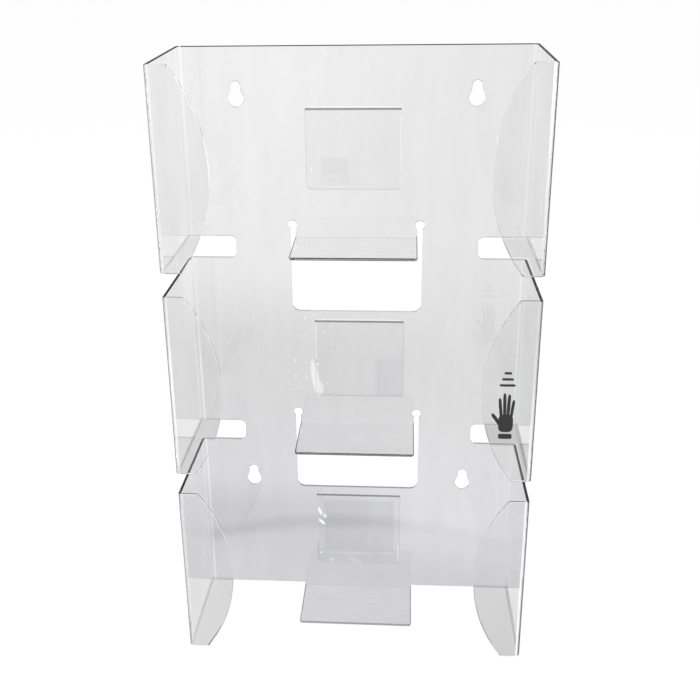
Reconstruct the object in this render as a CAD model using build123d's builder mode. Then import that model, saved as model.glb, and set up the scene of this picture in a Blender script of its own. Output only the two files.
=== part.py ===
from build123d import *
from math import pi
import os

# Wall dispenser for three boxes of disposable gloves, line-bent from one laser-cut sheet of
# clear acrylic. Frame: X to the right, Y into the wall, Z up. The sheet's rear face is Y = 0,
# the front of the dispenser faces -Y, and Z = 0 is the middle of the keyhole pattern.

# ---------------------------------------------------------------- driving dimensions (mm)
# Sheet and folds
sheet_thickness = 2.0
wall_fold_radius = 0.6         # inner radius of the four upright folds
shelf_fold_radius = 1.2        # inner radius of the three shelf folds
back_width = 250.0             # across the outer faces at the back folds
wall_flare = 2.0               # each wall stands this much further out at its front fold
depth = 89.5                   # rear face to the outer face of the lips

# Tiers, from the top down
tier_count = 3
tier_height = 136.0
notch_height = 16.5            # open band between two tiers, through lip, wall and back edge
notch_reach = 36.0             # how far a notch runs into the back panel
notch_corner_radius = 4.0

# Front lips
lip_edge = 14.6                # straight top and bottom edge of a lip
lip_width = 37.3               # widest point of a lip, half-way down its tier
lip_corner_radius = 2.5

# Shelves and the U-shaped cuts that free them
shelf_width = 89.0
shelf_corner_radius = 2.0
slot_width = 4.0               # laser-cut gap along each side of a shelf blank
front_gap = 6.0                # the same gap in front of the blank
slot_rise = 8.5                # relief hole centre above the tier's bottom edge
relief_hole_diameter = 7.0
window_height = 66.8           # relief hole centre to the bottom of the window
window_corner_radius = 6.0
fold_drop = 7.0                # relief hole centre to the start of the shelf fold

# Keyholes
keyhole_spacing = 168.0
upper_keyhole_drop = 36.0      # entry centre below the top edge
lower_keyhole_rise = 100.0     # entry centre above the bottom edge
keyhole_entry_diameter = 11.4
keyhole_slot_width = 7.0
keyhole_travel = 8.6           # entry centre to the centre of the slot's round end

# Adhesive pads on the rear face, cut and placed by hand
pad_width = 68.0
pad_thickness = 1.0
pad_corner_radius = 3.0
upper_pad_height = 58.0
middle_pad_height = 63.0
lower_pad_height = 66.0
upper_pad_drop = 43.0          # pad's top edge below its tier's top edge
middle_pad_drop = 50.4
lower_pad_drop = 50.3
upper_pad_shift = -1.8         # pad's middle to the side of the centre line
middle_pad_shift = 1.8
lower_pad_shift = 0.6

# ---------------------------------------------------------------- sizes worked out from them
front_width = back_width + 2 * wall_flare
tier_pitch = tier_height + notch_height
sheet_height = tier_count * tier_pitch - notch_height
sheet_bottom = (upper_keyhole_drop - lower_keyhole_rise - sheet_height) / 2
sheet_top = sheet_bottom + sheet_height
tier_tops = [sheet_top - i * tier_pitch for i in range(tier_count)]
tier_bottoms = [top - tier_height for top in tier_tops]
tier_middles = [top - tier_height / 2 for top in tier_tops]

# A notch is a rounded slot; its outer end runs past the wall, where it cuts nothing.
notch_inner = back_width / 2 - notch_reach
notch_outer = front_width / 2 + notch_corner_radius
notch_middles = [bottom - notch_height / 2 for bottom in tier_bottoms[:-1]]

# The inner edge of a lip is one arc through the ends of its straight edges.
mouth_half_width = front_width / 2 - lip_edge
lip_bulge = lip_width - lip_edge
lip_radius = (tier_height**2 / 4 + lip_bulge**2) / (2 * lip_bulge)
lip_arc_centre = mouth_half_width - lip_bulge + lip_radius

# A shelf's blank is what the window frees below its fold line. Folding takes the length of
# the bend's mid-line out of it, and the rest stands straight forward.
slot_centre = (shelf_width + slot_width) / 2
window_width = shelf_width + 2 * slot_width
shelf_blank = window_height - front_gap - fold_drop
shelf_bend_length = (shelf_fold_radius + sheet_thickness / 2) * pi / 2
shelf_front = sheet_thickness + shelf_fold_radius + shelf_blank - shelf_bend_length
relief_levels = [bottom + slot_rise for bottom in tier_bottoms[:-1]]
fold_lines = [level - fold_drop for level in relief_levels] + [sheet_bottom]

keyhole_x = keyhole_spacing / 2
keyhole_levels = [sheet_bottom + lower_keyhole_rise, sheet_top - upper_keyhole_drop]

os.makedirs("parts", exist_ok=True)


# ---------------------------------------------------------------- the folded sheet
with BuildPart() as dispenser_sheet:
    # Back panel, side walls and full-width lips: the plan section, drawn along its outer face.
    with BuildSketch(Plane.XY.offset(sheet_bottom)):
        with BuildLine():
            FilletPolyline(
                (lip_width - front_width / 2, -depth),
                (-front_width / 2, -depth),
                (-back_width / 2, 0),
                (back_width / 2, 0),
                (front_width / 2, -depth),
                (front_width / 2 - lip_width, -depth),
                radius=wall_fold_radius + sheet_thickness,
            )
            offset(amount=sheet_thickness, side=Side.RIGHT)
        make_face()
    extrude(amount=sheet_height)

    # Notches between the tiers, cut from both sides through lip, wall and back edge.
    with BuildSketch(Plane.XZ):
        for level in notch_middles:
            with Locations(
                (-(notch_inner + notch_outer) / 2, level),
                ((notch_inner + notch_outer) / 2, level),
            ):
                RectangleRounded(notch_outer - notch_inner, notch_height, notch_corner_radius)
    extrude(amount=depth, mode=Mode.SUBTRACT)

    # Mouths of the tiers: a straight cut down the front, less the arcs the lips bulge out to.
    with BuildSketch(Plane.XZ.offset(depth - sheet_thickness)):
        with Locations((0, (sheet_top + sheet_bottom) / 2)):
            Rectangle(2 * mouth_half_width, sheet_height)
        for level in tier_middles:
            with Locations((-lip_arc_centre, level), (lip_arc_centre, level)):
                Circle(lip_radius, mode=Mode.SUBTRACT)
    extrude(amount=sheet_thickness, mode=Mode.SUBTRACT)
    fillet(edges(Select.LAST).filter_by(Axis.Y), radius=lip_corner_radius)

    # Windows below the upper shelves, left open when their blanks are folded forward.
    for level in relief_levels:
        with BuildSketch(Plane.XZ):
            with Locations((0, level - window_height / 2)):
                Rectangle(window_width, window_height)
            fillet(vertices().group_by(Axis.Y)[0], radius=window_corner_radius)
        extrude(amount=sheet_thickness, mode=Mode.SUBTRACT)

    # Shelves: the strip above the fold, the fold and the ledge, drawn along the outer face.
    with BuildSketch(Plane.YZ):
        for fold_line in fold_lines:
            underside = fold_line - shelf_fold_radius - sheet_thickness
            with BuildLine():
                FilletPolyline(
                    (0, fold_line + fold_drop),
                    (0, underside),
                    (-shelf_front, underside),
                    radius=shelf_fold_radius + sheet_thickness,
                )
                offset(amount=sheet_thickness, side=Side.RIGHT)
            make_face()
    extrude(amount=shelf_width / 2, both=True)
    front_edges = edges(Select.LAST).filter_by(Axis.Z).group_by(Axis.Y)[0]
    fillet(front_edges, radius=shelf_corner_radius)

    # Relief holes at the ends of the slots.
    with BuildSketch(Plane.XZ):
        for level in relief_levels:
            with Locations((-slot_centre, level), (slot_centre, level)):
                Circle(relief_hole_diameter / 2)
    extrude(amount=sheet_thickness, mode=Mode.SUBTRACT)

    # Keyholes: a round entry for the screw head and a slot above it for the shank.
    with BuildSketch(Plane.XZ):
        for level in keyhole_levels:
            with Locations((-keyhole_x, level), (keyhole_x, level)):
                Circle(keyhole_entry_diameter / 2)
            slot_middle = level + keyhole_travel / 2
            with Locations((-keyhole_x, slot_middle), (keyhole_x, slot_middle)):
                SlotCenterToCenter(keyhole_travel, keyhole_slot_width, rotation=90)
    extrude(amount=sheet_thickness, mode=Mode.SUBTRACT)

dispenser_sheet.part.label = "dispenser_sheet"
export_step(dispenser_sheet.part, "parts/dispenser_sheet.step")


# ---------------------------------------------------------------- the adhesive pads
pads = (
    ("upper_pad", tier_tops[0] - upper_pad_drop, upper_pad_height, upper_pad_shift),
    ("middle_pad", tier_tops[1] - middle_pad_drop, middle_pad_height, middle_pad_shift),
    ("lower_pad", tier_tops[2] - lower_pad_drop, lower_pad_height, lower_pad_shift),
)
for pad_name, pad_top, pad_height, pad_shift in pads:
    with BuildPart() as pad:
        with BuildSketch(Plane.XZ):
            with Locations((pad_shift, pad_top - pad_height / 2)):
                Rectangle(pad_width, pad_height)
            fillet(vertices().group_by(Axis.Y)[0], radius=pad_corner_radius)
        extrude(amount=-pad_thickness)
    pad.part.label = pad_name
    export_step(pad.part, f"parts/{pad_name}.step")
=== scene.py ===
"""Three-tier glove dispenser of line-bent clear acrylic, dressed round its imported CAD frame.

The sheet is made the way a plastics workshop makes it: a blank is folded up, the openings are cut
and the three shelves are bent forward. Lengths are written in millimetres, with X to the right,
Y into the wall and Z up, and are turned to metres where a mesh or a material is made.
"""

from __future__ import annotations

import logging
import math
from collections.abc import Callable, Iterator
from contextlib import contextmanager
from dataclasses import dataclass, field
from enum import Enum
from functools import cached_property, reduce

import bmesh
import bpy
from mathutils import Matrix, Vector

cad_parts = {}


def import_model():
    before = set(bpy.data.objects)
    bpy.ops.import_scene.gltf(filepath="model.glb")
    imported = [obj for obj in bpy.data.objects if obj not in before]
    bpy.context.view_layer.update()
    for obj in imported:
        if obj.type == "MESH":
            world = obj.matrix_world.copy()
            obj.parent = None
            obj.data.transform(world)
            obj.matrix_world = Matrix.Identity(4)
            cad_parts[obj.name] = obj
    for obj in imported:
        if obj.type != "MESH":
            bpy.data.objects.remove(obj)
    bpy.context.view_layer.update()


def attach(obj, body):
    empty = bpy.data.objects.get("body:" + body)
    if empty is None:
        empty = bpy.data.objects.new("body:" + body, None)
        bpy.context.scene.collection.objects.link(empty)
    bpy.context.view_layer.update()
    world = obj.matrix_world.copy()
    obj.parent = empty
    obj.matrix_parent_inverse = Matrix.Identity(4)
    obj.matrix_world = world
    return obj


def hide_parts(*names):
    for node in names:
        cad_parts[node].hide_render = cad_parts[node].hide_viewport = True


log = logging.getLogger("glove_dispenser")

MM = 0.001
ROOT_BODY = "root"
EDGE_MARK = "along_sheet"  # face attribute: how far one looks along the sheet through a cut, which sets its painted shade
WELD_DISTANCE = 0.002  # mm, joins vertices that belong together
PLACE_TOLERANCE = 0.02  # mm, for picking edges and faces by their place
SPARE = 1.0  # mm, by which a cutter stands proud of what it cuts
SMOOTH_ANGLE = math.radians(35)
FACING = 0.9  # least share of a normal along an axis for a face that looks that way
LEFT_TO_RIGHT = (-70.0, 70.0)  # mm, over which the left side's look turns into the right's
SOFT = {"interpolation_type": "SMOOTHSTEP"}
COLOURS = {"data_type": "RGBA"}

Point = tuple[float, float, float]
Span = tuple[float, float]
Ramp = tuple[tuple[float, str], ...]
Piece = bpy.types.Object
Material = bpy.types.Material
Node = bpy.types.Node
Socket = bpy.types.NodeSocket
Source = Socket | Node | float | tuple[float, ...]
Inputs = dict[str | int, Source] | tuple[Source, ...]


class Side(Enum):
    """The two sides of the dispenser, seen from the front."""

    LEFT = -1
    RIGHT = 1


class Skin(Enum):
    """Material slots of a sheet while it is being made."""

    FACE = 0
    CUT_EDGE = 1
    ARRIS = 2


# ---------------- bench tools
def to_metres(point: Point) -> Vector:
    """Turn a point in millimetres into one in metres."""
    return Vector(point) * MM


def deselect_everything() -> None:
    bpy.ops.object.select_all(action="DESELECT")


def make_active(piece: Piece) -> None:
    """Select one object alone and make it the active one."""
    deselect_everything()
    piece.select_set(True)
    bpy.context.view_layer.objects.active = piece


@contextmanager
def edit_mode(piece: Piece, mode: str, everything: bool = False) -> Iterator[None]:
    """Work on a piece in edit mode.

    Args:
        piece: The mesh object.
        mode: VERT, EDGE or FACE.
        everything: Whether all of it is selected at the start, and not nothing.
    """
    make_active(piece)
    bpy.ops.object.mode_set(mode="EDIT")
    bpy.ops.mesh.select_mode(type=mode)
    bpy.ops.mesh.select_all(action="SELECT" if everything else "DESELECT")
    yield
    bpy.ops.object.mode_set(mode="OBJECT")


def pick_edges(piece: Piece, wanted: Callable[[Vector, Vector], bool]) -> None:
    """Select edges of the mesh in edit mode by the places of their two ends.

    Args:
        piece: The object in edit mode.
        wanted: Test on the two ends, in millimetres.
    """
    mesh = bmesh.from_edit_mesh(piece.data)
    for edge in mesh.edges:
        edge.select_set(wanted(*(vert.co / MM for vert in edge.verts)))
    mesh.select_flush_mode()
    bmesh.update_edit_mesh(piece.data)


def pick_faces(piece: Piece, wanted: Callable[[Vector, Vector], bool]) -> None:
    """Select faces of the mesh in edit mode by their middle and normal.

    Args:
        piece: The object in edit mode.
        wanted: Test on the middle, in millimetres, and the normal.
    """
    mesh = bmesh.from_edit_mesh(piece.data)
    for face in mesh.faces:
        face.select_set(wanted(face.calc_center_bounds() / MM, face.normal))
    mesh.select_flush_mode()
    bmesh.update_edit_mesh(piece.data)


def apply_modifier(piece: Piece, kind: str, **settings: object) -> None:
    """Add a modifier, set it up and apply it.

    Args:
        piece: The object that gets the modifier.
        kind: Blender's modifier type.
        **settings: Its properties.
    """
    make_active(piece)
    modifier = piece.modifiers.new(kind.title(), kind)
    for name, value in settings.items():
        setattr(modifier, name, value)
    bpy.ops.object.modifier_apply(modifier=modifier.name)


def settle(name: str) -> Piece:
    """Name the object that was just added and write its place, turn and scale into its mesh."""
    piece = bpy.context.active_object
    piece.name = name
    bpy.ops.object.transform_apply(location=True, rotation=True, scale=True)
    return piece


def add_block(name: str, low: Point, high: Point) -> Piece:
    """Add a block between two corners, as a start for a cutter or a plate.

    Args:
        name: The object's name.
        low: Lowest corner in millimetres.
        high: Highest corner in millimetres.

    Returns:
        The block, with its place in its mesh.
    """
    deselect_everything()
    middle = (Vector(low) + Vector(high)) / 2
    bpy.ops.mesh.primitive_cube_add(size=MM, location=middle * MM)
    bpy.context.active_object.scale = Vector(high) - Vector(low)
    return settle(name)


def add_blank(name: str) -> Piece:
    """Add a square of 1 mm that stands in the XZ plane, as a start for a sheet."""
    deselect_everything()
    bpy.ops.mesh.primitive_plane_add(size=MM, rotation=(math.pi / 2, 0, 0))
    return settle(name)


def runs_along(a: Vector, b: Vector, axis: int) -> bool:
    """Tell whether the line between two points runs along one axis."""
    span = b - a
    others = [abs(span[k]) for k in range(3) if k != axis]
    return abs(span[axis]) > PLACE_TOLERANCE and max(others) < PLACE_TOLERANCE


def bevel_picked(width: float, segments: int, **settings: object) -> None:
    """Bevel the picked edges of the piece in edit mode; the width is in millimetres."""
    bpy.ops.mesh.bevel(offset=width * MM, segments=segments, **{"affect": "EDGES"} | settings)


def round_y_edges(
    piece: Piece, radius: float, segments: int, wanted: Callable[[Vector], bool]
) -> None:
    """Round the edges of a block that run along Y.

    Args:
        piece: The block.
        radius: Radius in millimetres.
        segments: Number of facets in the rounding.
        wanted: Test on an edge's middle in millimetres.
    """
    with edit_mode(piece, "EDGE"):
        pick_edges(piece, lambda a, b: runs_along(a, b, 1) and wanted((a + b) / 2))
        bevel_picked(radius, segments)


def thicken(piece: Piece, thickness: float, turn_over: Callable[[Vector], bool]) -> None:
    """Make a folded surface into a sheet of even thickness, with marked cut edges.

    Args:
        piece: The folded surface.
        thickness: The sheet's thickness in millimetres.
        turn_over: Test on the largest face's normal that tells when the surface is inside out.
    """
    with edit_mode(piece, "FACE", everything=True):
        bpy.ops.mesh.normals_make_consistent(inside=False)
        faces = bmesh.from_edit_mesh(piece.data).faces
        if turn_over(max(faces, key=lambda face: face.calc_area()).normal):
            bpy.ops.mesh.flip_normals()
    apply_modifier(
        piece,
        "SOLIDIFY",
        thickness=thickness * MM,
        offset=-1.0,
        use_even_offset=True,
        material_offset_rim=Skin.CUT_EDGE.value,
    )


def cut_out(target: Piece, cutter: Piece) -> None:
    """Cut a shape out of a piece, which leaves laser-cut walls, and clear the cutter away.

    Args:
        target: The piece that is cut.
        cutter: The shape that is taken out.
    """
    if len(cutter.data.materials) == 0:
        cutter.data.materials.append(target.data.materials[Skin.CUT_EDGE.value])
    apply_modifier(
        target,
        "BOOLEAN",
        object=cutter,
        operation="DIFFERENCE",
        solver="EXACT",
        material_mode="TRANSFER",
    )
    bpy.data.objects.remove(cutter, do_unlink=True)


def smooth_folds(piece: Piece) -> None:
    """Shade the bends smoothly and keep the flat faces between them flat."""
    make_active(piece)
    bpy.ops.object.shade_smooth_by_angle(angle=SMOOTH_ANGLE)
    apply_modifier(piece, "WEIGHTED_NORMAL", mode="FACE_AREA", weight=50, keep_sharp=True)


def hand_over(piece: Piece, node: str) -> None:
    """Put a finished piece in its CAD solid's place and report it.

    Args:
        piece: The finished piece.
        node: The CAD node that it stands for.
    """
    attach(piece, ROOT_BODY)
    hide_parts(node)
    mesh = bmesh.new()
    mesh.from_mesh(piece.data)
    open_edges = sum(not edge.is_manifold for edge in mesh.edges)
    log.info("%s: %d faces, %d open edges", piece.name, len(mesh.faces), open_edges)
    mesh.free()


# ---------------- colours and nodes
def linear(hex_colour: str) -> tuple[float, float, float, float]:
    """Turn an sRGB hex value into a linear colour with full alpha.

    Args:
        hex_colour: A # and six hex digits.

    Returns:
        Linear red, green, blue and alpha.
    """
    channels = [int(hex_colour[i : i + 2], 16) / 255 for i in (1, 3, 5)]
    red, green, blue = (
        value / 12.92 if value <= 0.04045 else ((value + 0.055) / 1.055) ** 2.4
        for value in channels
    )
    return red, green, blue, 1.0


def in_metres(*lengths: float) -> list[float]:
    """Turn lengths in millimetres into metres."""
    return [length * MM for length in lengths]


class Graph:
    """The nodes of one material or world, and the place on the piece that they work from."""

    def __init__(self, tree: bpy.types.NodeTree) -> None:
        """Take over a node tree and empty it."""
        tree.nodes.clear()
        self.tree = tree

    def add(self, kind: str, inputs: Inputs = (), **settings: object) -> Node:
        """Add a node with its settings and links.

        Args:
            kind: The node's type, without the ShaderNode in front.
            inputs: What goes into it, in order or by name: values, sockets, or nodes, which give
                their first output in use.
            **settings: The node's own properties.

        Returns:
            The new node.
        """
        node = self.tree.nodes.new(f"ShaderNode{kind}")
        for name, value in settings.items():
            setattr(node, name, value)
        for name, value in inputs.items() if isinstance(inputs, dict) else enumerate(inputs):
            if isinstance(value, Node):
                value = next(output for output in value.outputs if output.enabled)
            if isinstance(value, Socket):
                self.tree.links.new(value, node.inputs[name])
            else:
                node.inputs[name].default_value = value
        return node

    @cached_property
    def place(self) -> Socket:
        """Object coordinates, in metres."""
        return self.add("TexCoord").outputs["Object"]

    @cached_property
    def axes(self) -> bpy.types.NodeOutputs:
        """Object coordinates split into X, Y and Z."""
        return self.add("SeparateXYZ", (self.place,)).outputs

    @cached_property
    def sideways(self) -> Node:
        """Distance from the middle plane."""
        return self.add("Math", (self.axes["X"],), operation="ABSOLUTE")

    @cached_property
    def across(self) -> Node:
        """0 on the left side and 1 on the right, with a soft change over the panel."""
        return self.add("MapRange", (self.axes["X"], *in_metres(*LEFT_TO_RIGHT)), **SOFT)

    @cached_property
    def along_sheet(self) -> Socket:
        """How far one looks along the sheet through a cut edge, or on a pad how much a face looks
        up; it sets their painted shade.
        """
        return self.add("Attribute", attribute_name=EDGE_MARK).outputs["Fac"]

    def overlap(self, *masks: Source) -> Source:
        """Mark where masks overlap; a plain number among them weakens the mark."""
        return reduce(lambda a, b: self.add("Math", (a, b), operation="MULTIPLY"), masks)

    def union(self, *masks: Source) -> Source:
        """Mark where at least one of several masks is."""
        return reduce(lambda a, b: self.add("Math", (a, b), operation="MAXIMUM"), masks)

    def band(self, place: Source, marks: tuple[float, ...]) -> Source:
        """Mark what lies between places, with soft borders.

        Args:
            place: The place along one axis, in metres.
            marks: Where the mark begins, is full, begins to fade and ends, in millimetres.

        Returns:
            The mask.
        """
        rising = self.add("MapRange", (place, *in_metres(*marks[:2])), **SOFT)
        falling = self.add("MapRange", (place, *in_metres(*marks[2:]), 1.0, 0.0), **SOFT)
        return self.overlap(rising, falling)

    def by_height(self, stops: Ramp) -> Node:
        """Change a colour with height.

        Args:
            stops: Levels in millimetres from the lowest up, each with its colour.

        Returns:
            The colour at each height.
        """
        low, high = stops[0][0], stops[-1][0]
        share = self.add("MapRange", (self.axes["Z"], *in_metres(low, high)))
        ramp = self.add("ValToRGB", (share,))
        ramp.color_ramp.interpolation = "EASE"
        marks = ramp.color_ramp.elements
        for level, _ in stops[1:-1]:
            marks.new((level - low) / (high - low))
        for mark, (_, hex_colour) in zip(marks, stops, strict=True):
            mark.color = linear(hex_colour)
        return ramp

    def seen_directly(self) -> Source:
        """Tell the rays that show the surroundings: to the eye, in gloss and through glass."""
        path = self.add("LightPath").outputs
        return self.union(*(path[f"Is {ray} Ray"] for ray in ("Camera", "Glossy", "Transmission")))

    def let_lamps_through(self, surface: Source, tint: Source) -> Node:
        """Let lamp light pass straight through a clear material, so that its shadow stays faint.

        Args:
            surface: The material's own shader.
            tint: The colour that the light takes.

        Returns:
            The shader for the material's output.
        """
        path = self.add("LightPath").outputs
        clear = self.add("BsdfTransparent", (tint,))
        return self.add("MixShader", (path["Is Shadow Ray"], surface, clear))


def new_material(name: str) -> tuple[Material, Graph]:
    """Make an empty node material.

    Args:
        name: The material's name.

    Returns:
        The material and its nodes.
    """
    material = bpy.data.materials.new(name)
    material.use_nodes = True
    return material, Graph(material.node_tree)


@dataclass(frozen=True)
class Oval:
    """A small slanted oval on the panel or lip, in millimetres and degrees.

    A power over 2 squares it off towards a bar with rounded ends.
    """

    x: float
    z: float
    half_width: float
    half_height: float
    slant: float = 0.0
    strength: float = 1.0
    crispness: float = 2.0
    power: float = 2.0

    def mask(self, graph: Graph) -> Source:
        """Mark the oval.

        Args:
            graph: The material's nodes.

        Returns:
            The oval's strength inside it and 0 outside.
        """
        turn = math.radians(self.slant)
        aside = graph.add("Math", (graph.axes["X"], self.x * MM), operation="SUBTRACT")
        above = graph.add("Math", (graph.axes["Z"], self.z * MM), operation="SUBTRACT")
        parts = []
        for cosine, sine, half in (
            (math.cos(turn), math.sin(turn), self.half_width * MM),
            (-math.sin(turn), math.cos(turn), self.half_height * MM),
        ):
            spans = graph.overlap(aside, cosine / half), graph.overlap(above, sine / half)
            along = graph.add("Math", spans, operation="ADD")
            along = graph.add("Math", (along,), operation="ABSOLUTE")
            parts.append(graph.add("Math", (along, self.power), operation="POWER"))
        distance = graph.add("Math", tuple(parts), operation="ADD")
        inside = graph.add("Math", (1.0, distance), operation="SUBTRACT")
        for operation, value in (("MULTIPLY", self.crispness), ("MAXIMUM", 0.0), ("MINIMUM", 1.0)):
            inside = graph.add("Math", (inside, value), operation=operation)
        return graph.overlap(inside, self.strength)


# ---------------- finishes
@dataclass(frozen=True)
class PrintedMark:
    """Black screen-print on the middle tier's lip: a plain glove under three bars.

    The ink is dense and a little duller than the acrylic around it.
    """

    ink: str = "#141414"
    roughness: float = 0.45
    reach: Span = (-89.4, -89.2)  # only the lip's outer face takes ink
    shapes: tuple[Oval, ...] = (
        Oval(106.6, -63.9, 4.7, 2.0, crispness=8.0, power=6.0),
        Oval(106.6, -53.8, 5.2, 7.0, crispness=6.0, power=3.5),
        Oval(102.7, -42.5, 1.1, 8.0, 6.0, crispness=5.0, power=4.0),
        Oval(105.4, -40.4, 1.15, 9.6, 2.0, crispness=5.0, power=4.0),
        Oval(108.1, -40.9, 1.15, 9.3, -2.0, crispness=5.0, power=4.0),
        Oval(110.7, -43.4, 1.05, 7.6, -6.0, crispness=5.0, power=4.0),
        Oval(100.4, -51.4, 1.3, 6.0, 36.0, crispness=5.0, power=4.0),
        Oval(106.6, -25.0, 5.4, 0.9, crispness=5.0, power=6.0),
        Oval(106.6, -20.5, 4.0, 0.9, crispness=5.0, power=6.0),
        Oval(106.6, -16.0, 2.6, 0.9, crispness=5.0, power=6.0),
    )

    def lay_on(self, graph: Graph, skin: Source) -> Node:
        """Print the mark on the outer face of the lip.

        Args:
            graph: The material's nodes.
            skin: The shader of the bare sheet.

        Returns:
            The shader of the printed sheet.
        """
        on_face = graph.add(
            "MapRange", (graph.axes["Y"], *in_metres(*self.reach), 1.0, 0.0), **SOFT
        )
        inked = graph.overlap(graph.union(*(shape.mask(graph) for shape in self.shapes)), on_face)
        ink = {"Base Color": linear(self.ink), "Roughness": self.roughness}
        return graph.add("MixShader", (inked, skin, graph.add("BsdfPrincipled", ink)))


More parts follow.
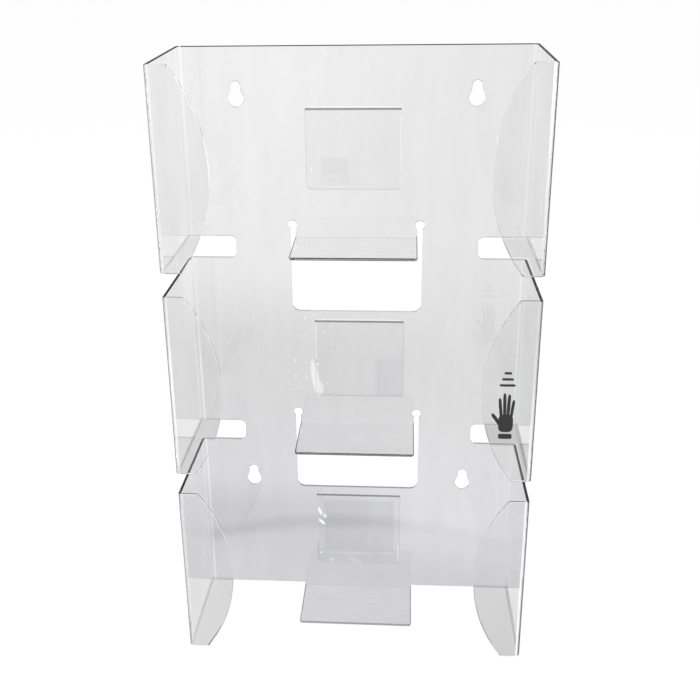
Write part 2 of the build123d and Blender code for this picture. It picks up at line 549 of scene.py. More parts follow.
@dataclass(frozen=True)
class ClearAcrylic:
    """Clear acrylic, 2 mm, line-bent, with laser-cut edges.

    To the eye it is a neutral grey window with a glassy skin. Its tints are painted shade that
    stands for the darker surroundings seen through it: lighter at the top left, darker towards the
    foot and with a soft arc of shade across the foot. Cut edges that face up or down get painted
    shade, because one looks along the sheet through them, and the bends get painted lines of shade
    and highlight. Years of handling have left faint wipe marks and dried drops, most of them on the
    left.
    Painted highlights stand for glints of air under the pads and bright lines at their rims. Tints
    and strengths come in pairs, the left side's first.
    """

    ior: float = 1.49
    absorption: tuple[str, float] = ("#b4b4b4", 2.0)
    # Painted shade on the back panel: the darker surroundings seen through it, lighter at the top
    # left and darker towards the foot.
    panel: tuple[Ramp, Ramp] = (
        (
            (-252.0, "#d4d4d6"), (-186.0, "#c9c9cc"), (-145.0, "#d7d7d9"), (-45.0, "#d5d5d6"),
            (45.0, "#ebebeb"), (188.0, "#f3f3f3"),
        ),
        (
            (-252.0, "#d0d0d2"), (-180.0, "#dedee0"), (-60.0, "#d9d9da"), (60.0, "#e6e6e6"),
            (188.0, "#ebebeb"),
        ),
    )
    # Painted shade on the walls' back and front halves: the surroundings seen through them, darker
    # at the foot and darkest at the right foot.
    wall_back: tuple[Ramp, Ramp] = (
        (
            (-252.0, "#d8d8da"), (-160.0, "#e2e2e4"), (-80.0, "#e2e2e2"), (40.0, "#f3f3f3"),
            (188.0, "#f6f6f6"),
        ),
        (
            (-252.0, "#a8a8aa"), (-230.0, "#e6e6e8"), (-120.0, "#e1e1e2"), (60.0, "#e6e6e6"),
            (130.0, "#f3f3f3"),
        ),
    )
    wall_front: tuple[Ramp, Ramp] = (
        (
            (-252.0, "#dcdcde"), (-220.0, "#d8d8da"), (-110.0, "#e4e4e5"), (70.0, "#e9e9e9"),
            (140.0, "#f4f4f4"),
        ),
        (
            (-252.0, "#c0c0c2"), (-185.0, "#e3e3e5"), (-85.0, "#dbdbdb"), (50.0, "#e0e0e0"),
            (110.0, "#f0f0f0"),
        ),
    )
    # Strengths of painted highlights by height: the white line inside each front bend, then the
    # clear line along each back bend, where the panel's tint is left out.
    front_bend: tuple[Ramp, Ramp] = (
        (
            (-252.0, "#888888"), (-120.0, "#888888"), (-30.0, "#cccccc"), (58.0, "#888888"),
            (188.0, "#969696"),
        ),
        (
            (-252.0, "#d8d8d8"), (-95.0, "#c0c0c0"), (30.0, "#585858"), (120.0, "#a0a0a0"),
            (160.0, "#f8f8f8"),
        ),
    )
    back_bend: tuple[Ramp, Ramp] = (
        (
            (-252.0, "#c8c8c8"), (-200.0, "#989898"), (-60.0, "#c8c8c8"), (0.0, "#606060"),
            (60.0, "#787878"), (150.0, "#e8e8e8"),
        ),
        ((-252.0, "#4c4c4c"), (-120.0, "#505050"), (-30.0, "#909090")),
    )
    # Where the lips look out over the gap under a tier they get painted shade, as the gap shows
    # through them
    # from one viewpoint: from, to and how much. The gap is seen slanted past a distance from the
    # middle, and less steeply further up.
    lip_clear: tuple[str, str] = ("#fafafa", "#f9f9f9")
    lip_painted_shade: tuple[str, str] = ("#c8c8c8", "#bcbcbc")
    lip_slants: tuple[Span, Span] = ((106.0, 1.67), (115.0, 2.92))
    slant_easing: float = 3.6
    gap_border: float = 2.0
    gaps: tuple[Point, ...] = ((-400.0, -189.0, 0.7), (-70.5, -55.0, 0.95), (65.0, 79.0, 0.6))
    # Painted shade and painted highlight at the bends: a dark line on the outer edge of each front
    # bend and a white one inside it; the marks place these lines and the back bends' clear line.
    fold_shade: tuple[str, str] = ("#8a8a8a", "#5a5a5b")
    fold_shade_share: float = 0.9
    fold_gleam: str = "#fafafa"
    back_bend_marks: tuple[float, ...] = (120.4, 121.2, 122.0, 122.8)
    gleam_marks: tuple[float, ...] = (123.2, 123.9, 124.9, 125.6)
    shade_marks: tuple[float, ...] = (125.6, 126.1, 128.0, 129.0)
    # Painted shade on the cut edges, by how far one looks along the sheet through them.
    edge_tint: str = "#3c3d3e"
    # Up-facing edges are seen almost along their face; they get painted shade of near-black
    # diffuse.
    top_edge_shade_tint: str = "#161616"
    top_edge_shade_share: float = 0.75
    top_edge_shade_from: float = 0.95
    # Where one face of the folded sheet passes into the next, as distances from the wall.
    panel_begins: Span = (-4.5, -2.2)
    lip_ends: Span = (-87.9, -86.5)
    lip_fold_ends: Span = (-87.8, -87.3)
    shelf_begins: Span = (-84.5, -81.5)
    wall_halves: Span = (-52.0, -26.0)
    beside_shelf: Span = (105.0, 122.0)
    # Painted shade: a soft darker arc across the panel's foot, where darker surroundings show
    # through.
    shade_arc_crown: float = -191.5
    shade_arc_middle: float = -8.0
    shade_arc_curl: float = 1.24
    shade_arc_reach: float = 11.0
    shade_arc_fading: Span = (0.0, 70.0)
    shade_arc_shares: Span = (0.14, 0.045)
    smear_width: float = 14.0
    smear_stretch: float = 0.2
    smear_veil: tuple[float, ...] = (0.3, 0.7, 0.96, 1.01)  # noise from and to, tint from and to
    drop_spacing: float = 2.8
    drop_stretch: float = 0.55
    drop_rarity: float = 4.0
    drop_size: float = 0.45
    drop_crispness: float = 4.0
    patch_scale: float = 14.0  # per metre
    patch_levels: Span = (0.42, 0.6)
    drops_across: tuple[Span, Span] = ((-40.0, 30.0), (0.4, 0.06))
    drops_up: tuple[Span, Span] = ((-130.0, -60.0), (0.25, 1.0))
    # Painted highlights: glints of air under the pads and bright lines along the pads' rims, laid
    # on as whiter tint.
    glints: tuple[Oval, ...] = (
        Oval(-22.0, 183.6, 0.9, 0.9, strength=0.9),
        Oval(-20.4, 182.2, 0.8, 0.8, strength=0.7),
        Oval(-22.8, 180.0, 0.8, 0.8, strength=0.8),
        Oval(-32.0, 102.8, 0.8, 1.1, strength=0.9),
        Oval(-32.3, -62.0, 3.3, 17.5, 8.0, strength=0.55),
        Oval(-30.0, -70.0, 4.0, 7.5, 10.0, strength=0.45),
        Oval(-30.4, -50.5, 0.9, 1.1),
        Oval(-31.4, -65.4, 0.8, 0.8, strength=0.9),
        Oval(-30.9, -182.5, 1.3, 4.6, 20.0),
        Oval(-26.9, -187.0, 1.4, 2.3, 12.0),
        Oval(-29.5, -192.6, 1.4, 4.4, 48.0),
        Oval(-30.6, -222.8, 1.4, 0.9, strength=0.8),
        Oval(-8.0, -222.4, 24.0, 0.5, strength=0.35),
        Oval(26.5, -221.8, 10.0, 0.5, strength=0.3),
        Oval(-22.0, -229.5, 2.2, 2.6, strength=0.25),
        Oval(-2.0, -230.0, 6.0, 2.2, -25.0, strength=0.22),
        Oval(-1.8, 146.7, 34.0, 0.6, strength=0.55, power=6.0),
        Oval(31.9, 116.0, 0.6, 28.0, strength=0.6, power=6.0),
        Oval(1.8, -13.2, 34.0, 0.6, strength=0.5, power=6.0),
        Oval(-31.6, -31.0, 0.7, 17.0, strength=0.5, power=6.0),
        Oval(-33.0, -190.0, 0.5, 22.0, strength=0.3, power=6.0),
        Oval(33.6, -222.0, 0.6, 9.0, strength=0.45, power=4.0),
    )
    printed_mark: PrintedMark = PrintedMark()

    def build(self) -> Material:
        """Make the material.

        Returns:
            The finished material.
        """
        material, graph = new_material("clear_acrylic_sheet")
        behind = graph.add("MapRange", (graph.axes["Y"], *in_metres(*self.panel_begins)), **SOFT)
        tint = self.tint_by_place(graph, behind)
        tint = self.add_drops(graph, self.add_smears(graph, tint))
        # Painted highlights: the glints make the tint white.
        painted_glints = graph.overlap(graph.union(*(glint.mask(graph) for glint in self.glints)), behind)
        tint = graph.add("Mix", {0: painted_glints, 6: tint, 7: linear("#ffffff")}, **COLOURS)
        # Painted shade on the cut edges.
        edge = {0: graph.along_sheet, 6: tint, 7: linear(self.edge_tint)}
        tint = graph.add("Mix", edge, **COLOURS)
        glassy = {
            "Base Color": tint, "Transmission Weight": 1.0, "IOR": self.ior, "Roughness": 0.0
        }
        # Painted shade: up-facing cut edges get near-black diffuse.
        on_top = graph.add("Math", (graph.along_sheet, self.top_edge_shade_from), operation="GREATER_THAN")
        top_edge_shade = graph.add("BsdfDiffuse", (linear(self.top_edge_shade_tint),))
        top_edge_shading = graph.overlap(on_top, self.top_edge_shade_share)
        skin = graph.add("MixShader", (top_edge_shading, graph.add("BsdfPrincipled", glassy), top_edge_shade))
        skin = self.add_bend_lines(graph, behind, skin)
        skin = self.printed_mark.lay_on(graph, graph.let_lamps_through(skin, tint))
        colour, density = self.absorption
        body = graph.add("VolumeAbsorption", (linear(colour), density))
        graph.add("OutputMaterial", (skin, body))
        return material

    def left_to_right(self, graph: Graph, ramps: tuple[Ramp, Ramp]) -> Node:
        """Blend a ramp for the left side into one for the right."""
        left, right = (graph.by_height(ramp) for ramp in ramps)
        return graph.add("Mix", {0: graph.across, 6: left, 7: right}, **COLOURS)

    def tint_by_place(self, graph: Graph, behind: Source) -> Node:
        """Give panel, walls, lips and shelves their painted shade, which stands for the
        surroundings seen through them.

        Args:
            graph: The material's nodes.
            behind: 1 on the back panel and 0 in front of it.

        Returns:
            The tint.
        """
        depth = graph.axes["Y"]
        panel = self.add_painted_shade_arc(graph, self.left_to_right(graph, self.panel))
        to_back = graph.add("MapRange", (depth, *in_metres(*self.wall_halves)), **SOFT)
        front = self.left_to_right(graph, self.wall_front)
        back = self.left_to_right(graph, self.wall_back)
        walls = graph.add("Mix", {0: to_back, 6: front, 7: back}, **COLOURS)
        left, right = (
            self.lip_tint(graph, *choice)
            for choice in zip(self.lip_slants, self.lip_clear, self.lip_painted_shade, strict=True)
        )
        lips = graph.add("Mix", {0: graph.across, 6: left, 7: right}, **COLOURS)
        off_lip = graph.add("MapRange", (depth, *in_metres(*self.lip_ends)), **SOFT)
        off_panel = graph.add("Mix", {0: off_lip, 6: lips, 7: walls}, **COLOURS)
        off_walls = graph.add(
            "MapRange", (graph.sideways, *in_metres(*self.beside_shelf), 1.0, 0.0), **SOFT
        )
        in_front = graph.add("MapRange", (depth, *in_metres(*self.shelf_begins)), **SOFT)
        on_panel = graph.union(behind, graph.overlap(off_walls, in_front))
        return graph.add("Mix", {0: on_panel, 6: off_panel, 7: panel}, **COLOURS)

    def lip_tint(self, graph: Graph, slant: Span, clear: str, dim: str) -> Node:
        """Tint one side's lips, with painted shade where they look out over the gap under a tier.

        Args:
            graph: The material's nodes.
            slant: Where the gap's slanted part starts, and how steep it is.
            clear: Tint over the wall and panel behind.
            dim: Painted shade over a gap.

        Returns:
            The tint.
        """
        start, slope = slant
        past = graph.add("Math", (graph.sideways, start * MM), operation="SUBTRACT")
        past = graph.add("Math", (past, 0.0), operation="MAXIMUM")
        steepness = graph.overlap(graph.axes["Z"], -self.slant_easing * slope)
        steepness = graph.add("Math", (steepness, slope), operation="ADD")
        rise = graph.overlap(past, steepness)
        height = graph.add("Math", (graph.axes["Z"], rise), operation="ADD")
        soft = self.gap_border
        over_gap = graph.union(
            *(
                graph.overlap(
                    graph.band(height, (low - soft, low + soft, high - soft, high + soft)), share
                )
                for low, high, share in self.gaps
            )
        )
        return graph.add("Mix", {0: over_gap, 6: linear(clear), 7: linear(dim)}, **COLOURS)

    def add_bend_lines(self, graph: Graph, behind: Source, surface: Source) -> Source:
        """Paint light and shade along the bends: a painted shade line on the outer edge of each
        front bend, a painted highlight inside it and a clear line along each back bend.

        Args:
            graph: The material's nodes.
            behind: 1 on the back panel and 0 in front of it.
            surface: The sheet's own shader.

        Returns:
            The shader with the lines.
        """
        at_lip = graph.add(
            "MapRange", (graph.axes["Y"], *in_metres(*self.lip_fold_ends), 1.0, 0.0), **SOFT
        )
        left, right = (linear(shade) for shade in self.fold_shade)
        shade = graph.add("Mix", {0: graph.across, 6: left, 7: right}, **COLOURS)
        back_strength = self.left_to_right(graph, self.back_bend)
        front_strength = self.left_to_right(graph, self.front_bend)
        clear = graph.add("BsdfTransparent", (linear("#ffffff"),))
        gleam = graph.add("BsdfDiffuse", (linear(self.fold_gleam),))
        fold_shade_line = graph.add("BsdfDiffuse", (shade,))
        for marks, where, strength, shader in (
            (self.back_bend_marks, behind, back_strength, clear),
            (self.gleam_marks, at_lip, front_strength, gleam),
            (self.shade_marks, at_lip, self.fold_shade_share, fold_shade_line),
        ):
            line = graph.overlap(graph.band(graph.sideways, marks), where, strength)
            surface = graph.add("MixShader", (line, surface, shader))
        return surface

    def add_painted_shade_arc(self, graph: Graph, panel: Source) -> Node:
        """Paint a soft arc of shade across the foot of the panel.

        Args:
            graph: The material's nodes.
            panel: The panel's tint.

        Returns:
            The tint with the arc.
        """
        x, z = graph.axes["X"], graph.axes["Z"]
        aside = graph.add("Math", (x, self.shade_arc_middle * MM), operation="SUBTRACT")
        droop = graph.overlap(aside, aside, self.shade_arc_curl)
        rise = graph.add("Math", (z, self.shade_arc_crown * MM), operation="SUBTRACT")
        distance = graph.add("Math", (rise, droop), operation="ADD")
        distance = graph.add("Math", (distance,), operation="ABSOLUTE")
        clear = graph.add("MapRange", (distance, *in_metres(0.0, self.shade_arc_reach)), **SOFT)
        span = (x, *in_metres(*self.shade_arc_fading), *self.shade_arc_shares)
        fading = graph.add("MapRange", span, **SOFT)
        arc_shade = graph.overlap(graph.add("Math", (1.0, clear), operation="SUBTRACT"), fading)
        share = graph.add("Math", (1.0, arc_shade), operation="SUBTRACT")
        return graph.add("Mix", {0: 1.0, 6: panel, 7: share}, blend_type="MULTIPLY", **COLOURS)

    def add_smears(self, graph: Graph, tint: Source) -> Node:
        """Vary the tint with upright wipe marks.

        Args:
            graph: The material's nodes.
            tint: The colour to vary.

        Returns:
            The varied colour.
        """
        pitch = 1 / (self.smear_width * MM)
        scale = {"Vector": graph.place, "Scale": (pitch, pitch, self.smear_stretch * pitch)}
        stretched = graph.add("Mapping", scale)
        noise = {"Vector": stretched, "Scale": 1.0, "Detail": 6.0, "Roughness": 0.6}
        wipes = graph.add("TexNoise", noise)
        veil = graph.add("MapRange", (wipes, *self.smear_veil))
        return graph.add("Mix", {0: 1.0, 6: tint, 7: veil}, blend_type="MULTIPLY", **COLOURS)

    def add_drops(self, graph: Graph, tint: Source) -> Node:
        """Scatter pale dried drops, thick on the upper left and rare on the right.

        Args:
            graph: The material's nodes.
            tint: The colour that the drops lie on.

        Returns:
            The colour with drops.
        """
        pitch = 1 / (self.drop_spacing * MM)
        scale = (pitch, 0.0, self.drop_stretch * pitch)
        flat = graph.add("Mapping", {"Vector": graph.place, "Scale": scale})
        cells = graph.add("TexVoronoi", {"Vector": flat, "Scale": 1.0, "Randomness": 1.0}).outputs
        lot = graph.add("SeparateColor", (cells["Color"],)).outputs["Red"]
        rare = graph.add("Math", (lot, self.drop_rarity), operation="POWER")
        reach = graph.overlap(rare, self.drop_size)
        mark = graph.add("Math", (reach, cells["Distance"]), operation="SUBTRACT")
        limits = (("MULTIPLY", self.drop_crispness), ("MAXIMUM", 0.0), ("MINIMUM", 1.0))
        for operation, value in limits:
            mark = graph.add("Math", (mark, value), operation=operation)
        noise = {"Vector": graph.place, "Scale": self.patch_scale, "Detail": 2.0}
        patches = graph.add("TexNoise", noise)
        spreads = (
            graph.add("MapRange", (graph.axes[axis], *in_metres(*span), *shares), **SOFT)
            for axis, (span, shares) in (("X", self.drops_across), ("Z", self.drops_up))
        )
        patchy = graph.add("MapRange", (patches, *self.patch_levels))
        mark = graph.overlap(mark, patchy, *spreads)
        return graph.add("Mix", {0: mark, 6: tint, 7: linear("#ffffff")}, **COLOURS)


@dataclass(frozen=True)
class BondFlawAndRimShade:
    """A place on a pad where the bond looks different, or a painted shade line along its top rim,
    with soft borders, in millimetres.
    """

    left: float
    right: float
    bottom: float
    top: float
    tint: str
    softness: float = 1.5

    def lay_on(self, graph: Graph, tint: Source) -> Node:
        """Tint the patch.

        Args:
            graph: The material's nodes.
            tint: The pad's colour around it.

        Returns:
            The colour with the patch.
        """
        inside = graph.overlap(
            *(
                graph.band(graph.axes[axis], (low, low + self.softness, high - self.softness, high))
                for axis, low, high in (("X", self.left, self.right), ("Z", self.bottom, self.top))
            )
        )
        return graph.add("Mix", {0: inside, 6: tint, 7: linear(self.tint)}, **COLOURS)


@dataclass(frozen=True)
class AdhesiveGel:
    """Clear double-sided mounting tape: a gel sheet, a touch greyer than the acrylic.

    Its up-facing rims get painted shade, and a painted shade line runs along its top; here and
    there it hasn't wetted the acrylic, which leaves a duller patch. Bright slivers of air show as
    painted highlights on the sheet.
    """

    ior: float = 1.47
    tint: str = "#fdfdfd"
    # Painted shade on the gel's up-facing rims.
    rim_shade_tint: str = "#5a5b5c"
    absorption: tuple[str, float] = ("#b4b4b4", 16.0)

    def build(self, name: str, patches: tuple[BondFlawAndRimShade, ...]) -> Material:
        """Make the material for one pad.

        Args:
            name: The pad's name.
            patches: Places where its bond isn't even, and the painted shade line along its top rim.

        Returns:
            The finished material.
        """
        material, graph = new_material(f"clear_mounting_gel_{name}")
        tint: Source = linear(self.tint)
        for patch in patches:
            tint = patch.lay_on(graph, tint)
        # Painted shade on faces that look up.
        rim = {0: graph.along_sheet, 6: tint, 7: linear(self.rim_shade_tint)}
        tint = graph.add("Mix", rim, **COLOURS)
        glassy = {
            "Base Color": tint, "Transmission Weight": 1.0, "IOR": self.ior, "Roughness": 0.0
        }
        skin = graph.let_lamps_through(graph.add("BsdfPrincipled", glassy), tint)
        colour, density = self.absorption
        body = graph.add("VolumeAbsorption", (linear(colour), density))
        graph.add("OutputMaterial", (skin, body))
        return material


# ---------------- the sheet
@dataclass
class DispenserSheet:
    """The one folded sheet: back panel, walls, lips and shelves, with all its openings."""

    finish: Material
    thickness: float = 2.0
    wall_fold_radius: float = 0.6
    shelf_fold_radius: float = 1.2
    back_width: float = 250.0
    wall_flare: float = 2.0
    depth: float = 89.5
    tier_height: float = 136.0
    notch_height: float = 16.5
    notch_reach: float = 36.0
    notch_corner_radius: float = 4.0
    lip_edge: float = 14.6
    lip_width: float = 37.3
    lip_corner_radius: float = 2.5
    shelf_width: float = 89.0
    shelf_front: float = 53.54
    shelf_corner_radius: float = 2.0
    slot_width: float = 4.0
    slot_rise: float = 8.5
    relief_radius: float = 3.5
    window_height: float = 66.8
    window_corner_radius: float = 6.0
    fold_drop: float = 7.0
    keyhole_spacing: float = 168.0
    keyhole_drop: float = 36.0
    keyhole_rise: float = 100.0
    keyhole_entry_radius: float = 5.7
    keyhole_slot_width: float = 7.0
    keyhole_travel: float = 8.6
    shoulder_start: float = 0.3
    shoulder_spread: float = 0.94
    shoulder_overrun: float = 0.3
    edge_softening: float = 0.55
    # How far one looks along the sheet through its cut edges, where 1 is a tier's whole height;
    # this sets each edge's painted shade.
    look_into_tier: float = 1.0
    look_into_shelf: float = 0.85
    look_below_window: float = 0.8
    look_into_panel: float = 0.3
    look_into_lip: float = 0.15
    look_from_below: float = 0.12
    look_across: float = 0.05
    top: float = 188.5
    fold_run_in: float = 0.2
    fold_segments: int = 10
    tiers: int = 3
    piece: Piece | None = field(default=None, init=False)

    @property
    def pitch(self) -> float:
        """Distance from one tier to the next."""
        return self.tier_height + self.notch_height

    @property
    def bottom(self) -> float:
        """Level of the sheet's bottom edge."""
        return self.top - self.tiers * self.pitch + self.notch_height

    @property
    def tier_tops(self) -> list[float]:
        """Top edges of the tiers, from the top down."""
        return [self.top - i * self.pitch for i in range(self.tiers)]

    @property
    def relief_levels(self) -> list[float]:
        """Levels of the relief holes of the two upper shelves."""
        return [top - self.tier_height + self.slot_rise for top in self.tier_tops[:-1]]

    @property
    def fold_lines(self) -> list[float]:
        """Levels at which the three shelf folds begin."""
        return [level - self.fold_drop for level in self.relief_levels] + [self.bottom]

    def build(self) -> Piece:
        """Make the whole sheet.

        Returns:
            The finished piece.
        """
        self.fold_walls_and_lips()
        self.cut_notches()
        self.cut_mouths()
        self.cut_windows()
        self.cut_keyholes()
        self.attach_shelves()
        self.finish_edges()
        hand_over(self.piece, "dispenser_sheet")
        return self.piece

    def fold_walls_and_lips(self) -> None:
        """Fold walls and lips forward from the back panel and give the sheet its thickness."""
        sheet = add_blank("acrylic_sheet")
        with edit_mode(sheet, "EDGE", everything=True):
            bpy.ops.transform.resize(value=(self.back_width, 1, self.top - self.bottom))
            bpy.ops.transform.translate(value=(0, 0, (self.top + self.bottom) / 2 * MM))
            for side in Side:
                edge_x = side.value * self.back_width / 2
                pick_edges(
                    sheet, lambda a, b: abs(a.x - edge_x) + abs(b.x - edge_x) < PLACE_TOLERANCE
                )
                for step in (
                    (side.value * self.wall_flare, -self.depth, 0),
                    (-side.value * self.lip_width, 0, 0),
                ):
                    bpy.ops.mesh.extrude_region_move(
                        TRANSFORM_OT_translate={"value": to_metres(step)}
                    )
        self.round_upright_folds(sheet)
        # One slot per skin tells cut faces from the sheet's own until the edges are finished.
        for _ in Skin:
            sheet.data.materials.append(self.finish.copy())
        thicken(sheet, self.thickness, lambda back: back.y < 0)
        self.piece = sheet

    def round_upright_folds(self, sheet: Piece) -> None:
        """Turn the four sharp upright folds into bends of the right radius."""
        outer_radius = self.wall_fold_radius + self.thickness
        lean = math.atan2(self.wall_flare, self.depth)
        folds = (
            (self.back_width / 2, 0.0, math.pi / 2 - lean),
            (self.back_width / 2 + self.wall_flare, -self.depth, math.pi / 2 + lean),
        )
        for fold_x, fold_y, turn in folds:
            with edit_mode(sheet, "EDGE"):
                pick_edges(
                    sheet,
                    lambda a, b: runs_along(a, b, 2)
                    and abs(abs(a.x) - fold_x) < PLACE_TOLERANCE
                    and abs(a.y - fold_y) < PLACE_TOLERANCE,
                )
                bevel_picked(outer_radius * math.tan(turn / 2), self.fold_segments)

    def cut_notches(self) -> None:
        """Cut the rounded notches between the tiers through lips, walls and back edge."""
        inner = self.back_width / 2 - self.notch_reach
        outer = self.back_width / 2 + self.wall_flare + self.notch_corner_radius
        for top in self.tier_tops[:-1]:
            high = top - self.tier_height
            for side in Side:
                left, right = sorted((side.value * inner, side.value * outer))
                cutter = add_block(
                    "notch_cutter",
                    (left, -self.depth - SPARE, high - self.notch_height),
                    (right, SPARE, high),
                )
                radius = self.notch_corner_radius
                round_y_edges(cutter, radius, 6, lambda middle: abs(middle.x) < inner + 1)
                cut_out(self.piece, cutter)

    def cut_mouths(self) -> None:
        """Cut the open fronts, which leaves the bulging lips, and round the lips' corners."""
        half = self.back_width / 2 + self.wall_flare - self.lip_edge
        bulge = self.lip_width - self.lip_edge
        radius = (self.tier_height**2 / 4 + bulge**2) / (2 * bulge)
        centre_x = half - bulge + radius
        front = -self.depth - SPARE
        rear = -self.depth + self.thickness + SPARE
        cutter = add_block(
            "mouth_cutter", (-half, front, self.bottom - SPARE), (half, rear, self.top + SPARE)
        )
        cutter.data.materials.append(self.piece.data.materials[Skin.CUT_EDGE.value])
        for top in self.tier_tops:
            for side in Side:
                middle = (side.value * centre_x, (front + rear) / 2, top - self.tier_height / 2)
                cut_out(cutter, self.drill(middle, radius, rear - front + SPARE, 288))
        cut_out(self.piece, cutter)
        corner_turn = math.acos((radius - bulge) / radius)
        with edit_mode(self.piece, "EDGE"):
            pick_edges(
                self.piece,
                lambda a, b: runs_along(a, b, 1)
                and abs(abs(a.x) - half) < PLACE_TOLERANCE
                and max(a.y, b.y) < rear,
            )
            bevel_picked(self.lip_corner_radius * math.tan((math.pi / 2 - corner_turn) / 2), 4)

    def drill(self, centre: Point, radius: float, depth: float, sides: int) -> Piece:
        """Make a round cutter along Y that carries the cut-edge finish.

        Args:
            centre: Its middle in millimetres.
            radius: Radius in millimetres.
            depth: Length along Y in millimetres.
            sides: Number of facets.

        Returns:
            The cutter.
        """
        deselect_everything()
        bpy.ops.mesh.primitive_cylinder_add(
            vertices=sides,
            radius=radius * MM,
            depth=depth * MM,
            location=to_metres(centre),
            rotation=(math.pi / 2, 0, 0),
        )
        drill = settle("drill")
        drill.data.materials.append(self.piece.data.materials[Skin.CUT_EDGE.value])
        return drill

    def panel_block(self, left: float, right: float, low: float, high: float) -> Piece:
        """Make a block that goes through the back panel, between two places across and up."""
        return add_block("panel_cutter", (left, -self.thickness - SPARE, low), (right, SPARE, high))

    def drill_panel(self, x: float, z: float, radius: float, sides: int) -> None:
        """Drill a round hole through the back panel."""
        centre = (x, -self.thickness / 2, z)
        cut_out(self.piece, self.drill(centre, radius, 4 * self.thickness, sides))

    def cut_windows(self) -> None:
        """Cut the windows and slots that free the two upper shelf blanks."""
        half_shelf = self.shelf_width / 2
        half_window = half_shelf + self.slot_width
        for level, fold_line in zip(self.relief_levels, self.fold_lines):
            floor = level - self.window_height
            cutter = self.panel_block(-half_window, half_window, floor, fold_line)
            round_y_edges(cutter, self.window_corner_radius, 8, lambda middle: middle.z < floor + 1)
            cut_out(self.piece, cutter)
            for side in Side:
                left, right = sorted((side.value * half_shelf, side.value * half_window))
                cut_out(self.piece, self.panel_block(left, right, fold_line - SPARE, level))
                relief_x = side.value * (half_shelf + self.slot_width / 2)
                self.drill_panel(relief_x, level, self.relief_radius, 40)

    def cut_keyholes(self) -> None:
        """Cut the four keyholes: a round entry, and a slot above it for the screw's shank."""
        levels = (self.top - self.keyhole_drop, self.bottom + self.keyhole_rise)
        half_slot = self.keyhole_slot_width / 2
        for level in levels:
            for side in Side:
                x = side.value * self.keyhole_spacing / 2
                self.drill_panel(x, level, self.keyhole_entry_radius, 48)
                slot_top = level + self.keyhole_travel + half_slot
                slot = self.panel_block(x - half_slot, x + half_slot, level, slot_top)
                round_y_edges(slot, half_slot * 0.999, 12, lambda middle: middle.z > level + 1)
                cut_out(self.piece, slot)
                cut_out(self.piece, self.keyhole_shoulder(x, level))

    def keyhole_shoulder(self, x: float, level: float) -> Piece:
        """Make the wedge that leads a screw's head from the entry up into the slot.

        Args:
            x: The keyhole's place across.
            level: Level of its round entry's middle.

        Returns:
            The cutter.
        """
        half_slot = self.keyhole_slot_width / 2
        low = level + self.shoulder_start * self.keyhole_entry_radius
        high = level + self.keyhole_entry_radius + self.shoulder_overrun
        wedge = self.panel_block(x - half_slot, x + half_slot, low, high)
        with edit_mode(wedge, "FACE"):
            pick_faces(wedge, lambda middle, normal: normal.z < -FACING)
            spread = self.shoulder_spread * self.keyhole_entry_radius / half_slot
            bpy.ops.transform.resize(
                value=(spread, 1, 1), center_override=to_metres((x, -self.thickness / 2, low))
            )
        return wedge

    def attach_shelves(self) -> None:
        """Bend one shelf, copy it to the three fold lines and weld each copy to the sheet."""
        half = self.shelf_width / 2
        with edit_mode(self.piece, "FACE"):
            for cut_x in (-half, half):
                pick_faces(
                    self.piece,
                    lambda middle, normal: normal.z < -FACING
                    and abs(middle.z - self.bottom) < PLACE_TOLERANCE
                    and middle.y > -self.thickness,
                )
                bpy.ops.mesh.bisect(plane_co=(cut_x * MM, 0, 0), plane_no=(1, 0, 0))
            pick_faces(self.piece, self.is_fold_seat)
            bpy.ops.mesh.delete(type="ONLY_FACE")
        shelf = self.bend_shelf()
        copies = []
        for fold_line in self.fold_lines:
            make_active(shelf)
            bpy.ops.object.duplicate()
            copy = bpy.context.active_object
            copy.location = to_metres((0, 0, fold_line))
            copies.append(settle("shelf"))
        bpy.data.objects.remove(shelf, do_unlink=True)
        make_active(self.piece)
        for copy in copies:
            copy.select_set(True)
        bpy.ops.object.join()
        with edit_mode(self.piece, "VERT", everything=True):
            bpy.ops.mesh.remove_doubles(threshold=WELD_DISTANCE * MM)

    def is_fold_seat(self, middle: Vector, normal: Vector) -> bool:
        """Tell whether a face is the flat end of the sheet where a shelf's fold begins."""
        on_a_fold_line = any(abs(middle.z - line) < PLACE_TOLERANCE for line in self.fold_lines)
        faces_down = normal.z < -FACING
        return faces_down and on_a_fold_line and abs(middle.x) < 1 and middle.y > -self.thickness

    def bend_shelf(self) -> Piece:
        """Make one shelf whose fold begins at height 0.

        Returns:
            The shelf, open where it meets the sheet.
        """
        outer_radius = self.shelf_fold_radius + self.thickness
        shelf = add_blank("shelf")
        spare = self.thickness
        with edit_mode(shelf, "EDGE", everything=True):
            bpy.ops.transform.resize(value=(self.shelf_width, 1, outer_radius + spare))
            bpy.ops.transform.translate(value=(0, 0, (spare - outer_radius) / 2 * MM))
            pick_edges(shelf, lambda a, b: runs_along(a, b, 0) and a.z < 0)
            bpy.ops.mesh.extrude_region_move(
                TRANSFORM_OT_translate={"value": to_metres((0, -self.shelf_front, 0))}
            )
            pick_edges(
                shelf,
                lambda a, b: runs_along(a, b, 0) and a.z < 0 and abs(a.y) < PLACE_TOLERANCE,
            )
            bevel_picked(outer_radius - self.fold_run_in, self.fold_segments)
        with edit_mode(shelf, "VERT"):
            mesh = bmesh.from_edit_mesh(shelf.data)
            for vert in mesh.verts:
                vert.select_set(vert.co.y / MM < -self.shelf_front + PLACE_TOLERANCE)
            mesh.select_flush_mode()
            bevel_picked(self.shelf_corner_radius, 5, affect="VERTICES")
        for material in self.piece.data.materials:
            shelf.data.materials.append(material)
        thicken(shelf, self.thickness, lambda ledge: ledge.z > 0)
        with edit_mode(shelf, "FACE", everything=True):
            bpy.ops.mesh.bisect(
                plane_co=(0, 0, 0), plane_no=(0, 0, 1), clear_outer=True, threshold=1e-6
            )
        return shelf

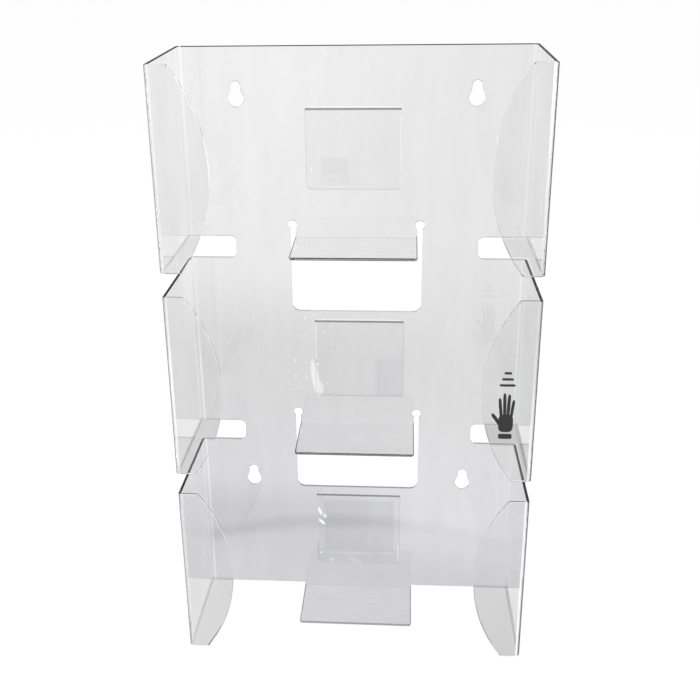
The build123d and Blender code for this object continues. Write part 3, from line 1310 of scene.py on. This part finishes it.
    def finish_edges(self) -> None:
        """Round the cut edges off a little, mark them for their painted shade and smooth the folds.
        """
        with edit_mode(self.piece, "EDGE"):
            mesh = bmesh.from_edit_mesh(self.piece.data)
            for edge in mesh.edges:
                skins = {face.material_index for face in edge.link_faces}
                edge.select_set(skins == {Skin.FACE.value, Skin.CUT_EDGE.value})
            mesh.select_flush_mode()
            bevel_picked(self.edge_softening, 1, material=Skin.ARRIS.value)
        mesh = self.piece.data
        depths = []
        for face in mesh.polygons:
            cut = face.material_index != Skin.FACE.value
            depths.append(self.depth_behind(face.center / MM, face.normal) if cut else 0.0)
            face.material_index = 0
        mesh.attributes.new(EDGE_MARK, "FLOAT", "FACE").data.foreach_set("value", depths)
        mesh.materials.clear()
        mesh.materials.append(self.finish)
        smooth_folds(self.piece)

    def depth_behind(self, middle: Vector, normal: Vector) -> float:
        """Tell how much painted shade a cut edge gets, by how much sheet lies behind it.

        Args:
            middle: The face's middle in millimetres.
            normal: Its normal.

        Returns:
            How far one looks along the sheet there, between 0 and 1.
        """
        on_panel = middle.y > -self.thickness - 0.1
        if middle.y < -self.shelf_front + 1 and abs(middle.x) < self.shelf_width / 2:
            return self.look_into_shelf
        if middle.y < -self.depth + self.thickness + 0.1 and abs(middle.x) < self.back_width / 2:
            return self.look_into_lip if normal.z > 0.8 else self.look_across
        if normal.z > 0.3:
            if middle.z > self.top - 1 or not on_panel:
                return self.look_into_tier
            if abs(middle.x) < self.shelf_width / 2 + 1 and middle.z < self.fold_lines[1]:
                return self.look_below_window
            return self.look_into_panel
        if normal.z < -0.3 and not on_panel:
            return self.look_from_below
        return self.look_across


# ---------------- mounting pads
@dataclass
class MountingPad:
    """One square of clear mounting tape on the back of a tier, with rounded lower corners."""

    name: str
    left: float
    bottom: float
    height: float
    patches: tuple[BondFlawAndRimShade, ...]
    width: float = 68.0
    thickness: float = 1.0
    bond_gap: float = 0.04
    corner_radius: float = 3.0
    edge_softening: float = 0.4
    sharp_from: float = 50.0  # degrees

    def build(self, finish: AdhesiveGel) -> Piece:
        """Make the pad and put it where its CAD solid is.

        Args:
            finish: The gel's finish.

        Returns:
            The finished piece.
        """
        pad = add_block(
            f"{self.name}_gel",
            (self.left, self.bond_gap, self.bottom),
            (self.left + self.width, self.thickness, self.bottom + self.height),
        )
        middle = self.bottom + self.height / 2
        round_y_edges(pad, self.corner_radius, 6, lambda place: place.z < middle)
        apply_modifier(
            pad,
            "BEVEL",
            width=self.edge_softening * MM,
            segments=1,
            limit_method="ANGLE",
            angle_limit=math.radians(self.sharp_from),
        )
        # Up-facing faces get painted shade through the gel's rim tint.
        rims = [max(0.0, face.normal.z) for face in pad.data.polygons]
        pad.data.attributes.new(EDGE_MARK, "FLOAT", "FACE").data.foreach_set("value", rims)
        smooth_folds(pad)
        pad.data.materials.append(finish.build(self.name, self.patches))
        hand_over(pad, self.name)
        return pad


PADS = (
    MountingPad(
        "upper_pad",
        left=-35.8,
        bottom=87.5,
        height=58.0,
        patches=(
            BondFlawAndRimShade(-27.2, -3.5, 89.0, 112.5, "#f4f4f4", 4.5),
            BondFlawAndRimShade(-24.5, -4.2, 89.5, 101.0, "#f7f7f7", 3.5),
            # Painted shade: the dark line along the pad's top rim.
            BondFlawAndRimShade(-36.5, 33.0, 143.9, 147.0, "#a0a1a2", 0.5),
        ),
    ),
    MountingPad(
        "middle_pad",
        left=-32.2,
        bottom=-77.4,
        height=63.0,
        patches=(
            BondFlawAndRimShade(10.0, 50.0, -90.0, -42.0, "#f6f6f8", 8.0),
            BondFlawAndRimShade(15.0, 19.0, -78.0, -46.0, "#f4f4f6", 1.9),
            # Painted shade: the dark line along the pad's top rim.
            BondFlawAndRimShade(-33.0, 36.5, -16.0, -13.0, "#a0a1a2", 0.5),
        ),
    ),
    MountingPad(
        "lower_pad",
        left=-33.4,
        bottom=-232.8,
        height=66.0,
        patches=(
            BondFlawAndRimShade(-29.0, 31.0, -222.0, -171.0, "#f3f3f5", 3.0),
            # Painted shade: the dark line along the pad's top rim.
            BondFlawAndRimShade(-34.0, 35.5, -168.4, -166.0, "#a0a1a2", 0.5),
        ),
    ),
)


# ---------------- studio
@dataclass(frozen=True)
class Softbox:
    """A square area lamp that looks at the dispenser, in millimetres and watts."""

    name: str
    place: Point
    size: float
    power: float
    aim: Point = (0.0, -40.0, -30.0)

    def hang(self) -> None:
        """Put the lamp in its place."""
        data = bpy.data.lights.new(self.name, "AREA")
        data.size = self.size * MM
        data.energy = self.power
        lamp = bpy.data.objects.new(self.name, data)
        bpy.context.collection.objects.link(lamp)
        lamp.location = to_metres(self.place)
        view = to_metres(self.aim) - lamp.location
        lamp.rotation_euler = view.to_track_quat("-Z", "Y").to_euler()


@dataclass
class Studio:
    """Camera, floor, world and lamps."""

    floor_level: float = -255.7
    floor_size: float = 60.0  # m, so that its edge is out of sight
    floor_colour: str = "#f4f4f4"
    floor_glow: float = 1.05
    floor_glow_share: float = 0.8
    light_given: float = 0.8
    light_seen: float = 1.0
    # Light runs along inside the sheet by many reflections before it leaves at an edge.
    bounces: int = 40
    camera_place: Point = (36.244, -745.909, 279.594)
    focal_pixels: float = 1055.806
    frame_pixels: float = 700.0
    centre_pixels: Span = (326.179, 353.062)
    sensor_width: float = 36.0
    sight: Span = (0.01, 200.0)  # m
    pitch: float = -0.40531
    roll: float = 0.01763
    yaw: float = 0.08022
    lamps: tuple[Softbox, ...] = (
        Softbox("key_softbox", (-1200.0, -900.0, 1100.0), 900.0, 14.0),
        Softbox("fill_softbox", (1300.0, -600.0, 700.0), 800.0, 7.0),
        Softbox("low_left_softbox", (-900.0, -330.0, -60.0), 500.0, 1.0),
        Softbox("low_right_softbox", (900.0, -330.0, -60.0), 500.0, 1.0),
    )

    def build(self) -> None:
        """Set everything up."""
        self.add_camera()
        self.add_floor()
        self.set_world()
        for lamp in self.lamps:
            lamp.hang()
        scene = bpy.context.scene
        scene.view_settings.view_transform = "Standard"
        scene.cycles.max_bounces = self.bounces
        scene.cycles.transmission_bounces = self.bounces
        scene.cycles.glossy_bounces = self.bounces

    def add_camera(self) -> None:
        """Put the camera in front of the dispenser, a little above it and to the right."""
        data = bpy.data.cameras.new("camera")
        camera = bpy.data.objects.new("camera", data)
        bpy.context.collection.objects.link(camera)
        data.sensor_width = self.sensor_width
        data.lens = self.focal_pixels * data.sensor_width / self.frame_pixels
        data.shift_x = 0.5 - self.centre_pixels[0] / self.frame_pixels
        data.shift_y = self.centre_pixels[1] / self.frame_pixels - 0.5
        data.clip_start, data.clip_end = self.sight
        turn = (
            Matrix.Rotation(self.yaw, 3, "Z")
            @ Matrix.Rotation(self.pitch, 3, "X")
            @ Matrix.Rotation(self.roll, 3, "Y")
        )
        # Blender's camera looks along its own -Z with +Y up; here it looks along +Y with +Z up.
        facing = Matrix(((1, 0, 0), (0, 0, -1), (0, 1, 0)))
        place = Matrix.Translation(to_metres(self.camera_place))
        camera.matrix_world = place @ (turn @ facing).to_4x4()
        bpy.context.scene.camera = camera

    def add_floor(self) -> None:
        """Lay a plain white floor that keeps a soft shadow."""
        deselect_everything()
        bpy.ops.mesh.primitive_plane_add(
            size=self.floor_size, location=(0, 0, self.floor_level * MM)
        )
        floor = bpy.context.active_object
        floor.name = "floor"
        # Matt and nearly white, with a glow where it is seen, so that it runs into the background.
        material, graph = new_material("white_floor")
        share = graph.overlap(graph.seen_directly(), self.floor_glow_share)
        lit = graph.add("BsdfDiffuse", (linear(self.floor_colour),))
        glow = graph.add("Emission", {"Strength": self.floor_glow})
        graph.add("OutputMaterial", (graph.add("MixShader", (share, lit, glow)),))
        floor.data.materials.append(material)

    def set_world(self) -> None:
        """Surround the dispenser with white, softer for the light it gives than for the eye."""
        world = bpy.data.worlds.new("studio")
        bpy.context.scene.world = world
        world.use_nodes = True
        graph = Graph(world.node_tree)
        white = linear("#ffffff")
        given = graph.add("Background", (white, self.light_given))
        seen = graph.add("Background", (white, self.light_seen))
        mixed = graph.add("MixShader", (graph.seen_directly(), given, seen))
        graph.add("OutputWorld", (mixed,))


def main() -> None:
    """Load the frame, build each piece on it and set the studio up."""
    logging.basicConfig(level=logging.INFO, format="%(name)s: %(message)s")
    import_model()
    Studio().build()
    DispenserSheet(ClearAcrylic().build()).build()
    gel = AdhesiveGel()
    for pad in PADS:
        pad.build(gel)


if __name__ == "__main__":
    main()
